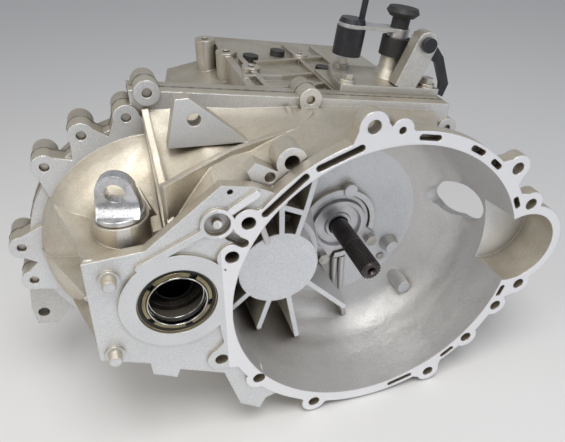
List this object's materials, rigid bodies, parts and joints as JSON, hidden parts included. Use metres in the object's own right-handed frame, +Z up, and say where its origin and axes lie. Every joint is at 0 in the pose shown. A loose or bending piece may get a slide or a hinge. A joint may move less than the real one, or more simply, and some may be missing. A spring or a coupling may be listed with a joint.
{
  "type": "transaxle gearbox",
  "caption": "Transverse manual gearbox with clutch housing, gear case and shift tower; the input shaft, gears and differential turn inside.",
  "frame": {"origin": "on the input-shaft axis, in the machined face that meets the engine, midway between the two dowel holes", "axes": "+Y from the engine into the gearbox along the input shaft, +Z up, +X to the right seen from the engine"},
  "size_m": [0.567, 0.398, 0.4114],
  "materials": {
    "cast_aluminium": "rough cast",
    "machined_steel": "ground",
    "dark_steel": "oiled",
    "bearing_steel": "polished",
    "brass": "satin",
    "black_rubber": "matte",
    "cast_iron": "machined",
    "zinc_bolt": "zinc plated",
    "black_plate": "black passivated",
    "pressed_steel": "zinc plated",
    "black_plastic": "matte"
  },
  "bodies": {
    "housing": {"clutch_housing": "cast_aluminium", "transmission_case": "cast_aluminium", "rear_cover": "cast_aluminium", "shift_tower": "cast_aluminium", "input_retainer": "bearing_steel", "input_bearing_cups": "bearing_steel", "output_bearing_cups": "bearing_steel", "diff_bearing_cups": "bearing_steel", "idler_shaft": "machined_steel", "front_drive_seal": "black_rubber", "rear_drive_seal": "black_rubber", "joint_bolts": "zinc_bolt", "cover_bolts": "zinc_bolt", "tower_bolts": "zinc_bolt", "roof_plugs": "black_plastic", "lifting_eye": "zinc_bolt", "drain_plug": "zinc_bolt", "fill_plug": "zinc_bolt", "reverse_switch": "black_plastic", "retainer_bolts": "zinc_bolt", "plate_studs": "zinc_bolt"},
    "input": {"input_shaft": "dark_steel", "third_input_gear": "dark_steel", "fourth_input_gear": "dark_steel", "fifth_input_gear": "dark_steel", "input_bearing_cones": "bearing_steel"},
    "output": {"output_shaft": "dark_steel", "synchro_hubs": "machined_steel", "synchro_rings": "brass", "output_bearing_cones": "bearing_steel"},
    "differential": {"differential_case": "cast_iron", "ring_gear": "dark_steel", "ring_gear_bolts": "zinc_bolt", "diff_bearing_cones": "bearing_steel", "cross_pin": "machined_steel"},
    "side_front": {"side_gear_front": "machined_steel"},
    "side_rear": {"side_gear_rear": "machined_steel"},
    "spider_top": {"spider_gear_top": "machined_steel"},
    "spider_bottom": {"spider_gear_bottom": "machined_steel"},
    "select_slider": {"dust_skirt": "black_rubber"},
    "shift_lever_body": {"shift_shaft": "machined_steel", "shift_lever": "pressed_steel", "lever_weight": "black_plate", "lever_damper": "black_rubber"},
    "select_lever_body": {"select_lever": "black_plate"},
    "first_wheel": {"first_gear": "dark_steel"},
    "second_wheel": {"second_gear": "dark_steel"},
    "third_wheel": {"third_gear": "dark_steel"},
    "fourth_wheel": {"fourth_gear": "dark_steel"},
    "fifth_wheel": {"fifth_gear": "dark_steel"},
    "idler_wheel": {"reverse_idler": "dark_steel"},
    "reverse_wheel": {"reverse_gear": "dark_steel"},
    "fork_34_body": {"fork_34": "cast_aluminium"},
    "sleeve_34_body": {"sleeve_34": "machined_steel"},
    "fork_12_body": {"fork_12": "cast_aluminium"},
    "sleeve_12_body": {"sleeve_12": "machined_steel"},
    "fork_5r_body": {"fork_5r": "cast_aluminium"},
    "sleeve_5r_body": {"sleeve_5r": "machined_steel"}
  },
  "joints": [
    {"name": "input_spin", "type": "hinge", "parent": "housing", "child": "input", "pos_m": [0, 0.2, 0], "axis": [0, 1, 0], "continuous": true},
    {"name": "diff_spin", "type": "hinge", "parent": "housing", "child": "differential", "pos_m": [-0.204, 0.097, 0.03], "axis": [0, 1, 0], "continuous": true},
    {"name": "output_spin", "type": "hinge", "parent": "housing", "child": "output", "pos_m": [-0.0975, 0.2, 0.0155], "axis": [0, 1, 0], "continuous": true},
    {"name": "first_spin", "type": "hinge", "parent": "housing", "child": "first_wheel", "pos_m": [-0.0975, 0.2765, 0.0155], "axis": [0, 1, 0], "continuous": true},
    {"name": "second_spin", "type": "hinge", "parent": "housing", "child": "second_wheel", "pos_m": [-0.0975, 0.2315, 0.0155], "axis": [0, 1, 0], "continuous": true},
    {"name": "third_spin", "type": "hinge", "parent": "housing", "child": "third_wheel", "pos_m": [-0.0975, 0.2145, 0.0155], "axis": [0, 1, 0], "continuous": true},
    {"name": "fourth_spin", "type": "hinge", "parent": "housing", "child": "fourth_wheel", "pos_m": [-0.0975, 0.1695, 0.0155], "axis": [0, 1, 0], "continuous": true},
    {"name": "fifth_spin", "type": "hinge", "parent": "housing", "child": "fifth_wheel", "pos_m": [-0.0975, 0.3385, 0.0155], "axis": [0, 1, 0], "continuous": true},
    {"name": "idler_spin", "type": "hinge", "parent": "housing", "child": "idler_wheel", "pos_m": [-0.00219, 0.2935, 0.0574], "axis": [0, 1, 0], "continuous": true},
    {"name": "reverse_spin", "type": "hinge", "parent": "housing", "child": "reverse_wheel", "pos_m": [-0.0975, 0.2935, 0.0155], "axis": [0, 1, 0], "continuous": true},
    {"name": "side_front_spin", "type": "hinge", "parent": "differential", "child": "side_front", "pos_m": [-0.204, 0.097, 0.03], "axis": [0, 1, 0], "continuous": true},
    {"name": "side_rear_spin", "type": "hinge", "parent": "differential", "child": "side_rear", "pos_m": [-0.204, 0.097, 0.03], "axis": [0, 1, 0], "continuous": true},
    {"name": "spider_top_spin", "type": "hinge", "parent": "differential", "child": "spider_top", "pos_m": [-0.204, 0.097, 0.03], "axis": [0, 0, 1], "continuous": true},
    {"name": "spider_bottom_spin", "type": "hinge", "parent": "differential", "child": "spider_bottom", "pos_m": [-0.204, 0.097, 0.03], "axis": [0, 0, 1], "continuous": true},
    {"name": "fork_34_slide", "type": "slide", "parent": "housing", "child": "fork_34_body", "axis": [0, 1, 0], "range_m": [-0.008, 0.008]},
    {"name": "sleeve_34_slide", "type": "slide", "parent": "output", "child": "sleeve_34_body", "axis": [0, 1, 0], "range_m": [-0.008, 0.008]},
    {"name": "fork_12_slide", "type": "slide", "parent": "housing", "child": "fork_12_body", "axis": [0, 1, 0], "range_m": [-0.008, 0.008]},
    {"name": "sleeve_12_slide", "type": "slide", "parent": "output", "child": "sleeve_12_body", "axis": [0, 1, 0], "range_m": [-0.008, 0.008]},
    {"name": "fork_5r_slide", "type": "slide", "parent": "housing", "child": "fork_5r_body", "axis": [0, 1, 0], "range_m": [-0.008, 0.008]},
    {"name": "sleeve_5r_slide", "type": "slide", "parent": "output", "child": "sleeve_5r_body", "axis": [0, 1, 0], "range_m": [-0.008, 0.008]},
    {"name": "select_slide", "type": "slide", "parent": "housing", "child": "select_slider", "axis": [0.1564, 0, 0.9877], "range_m": [-0.009, 0.009], "stiffness_N_per_m": 4000, "springref_m": 0.003},
    {"name": "shift_turn", "type": "hinge", "parent": "select_slider", "child": "shift_lever_body", "pos_m": [0.078, 0.18, 0.14253], "axis": [0.1564, 0, 0.9877], "range_deg": [-6.8, 6.8]},
    {"name": "select_lever_turn", "type": "hinge", "parent": "housing", "child": "select_lever_body", "pos_m": [0.10289, 0.149, 0.19527], "axis": [0, 1, 0], "range_deg": [-8.7, 8.7]}
  ],
  "couplings": [
    {"joint": "output_spin", "follows": "diff_spin", "ratio": -4.1429},
    {"joint": "first_spin", "follows": "input_spin", "ratio": -0.27907},
    {"joint": "second_spin", "follows": "input_spin", "ratio": -0.48649},
    {"joint": "third_spin", "follows": "input_spin", "ratio": -0.71875},
    {"joint": "fourth_spin", "follows": "input_spin", "ratio": -1.037},
    {"joint": "fifth_spin", "follows": "input_spin", "ratio": -1.2917},
    {"joint": "idler_spin", "follows": "input_spin", "ratio": -0.6},
    {"joint": "reverse_spin", "follows": "input_spin", "ratio": 0.31579},
    {"joint": "side_rear_spin", "follows": "side_front_spin", "ratio": -1},
    {"joint": "spider_top_spin", "follows": "side_front_spin", "ratio": 1.6049},
    {"joint": "spider_bottom_spin", "follows": "side_front_spin", "ratio": -1.6049},
    {"joint": "sleeve_34_slide", "follows": "fork_34_slide", "ratio": 1},
    {"joint": "sleeve_12_slide", "follows": "fork_12_slide", "ratio": 1},
    {"joint": "sleeve_5r_slide", "follows": "fork_5r_slide", "ratio": 1},
    {"joint": "shift_turn", "follows": "fork_34_slide", "rad_per_m": -14.815},
    {"joint": "select_lever_turn", "follows": "select_slide", "rad_per_m": 16.667}
  ]
}
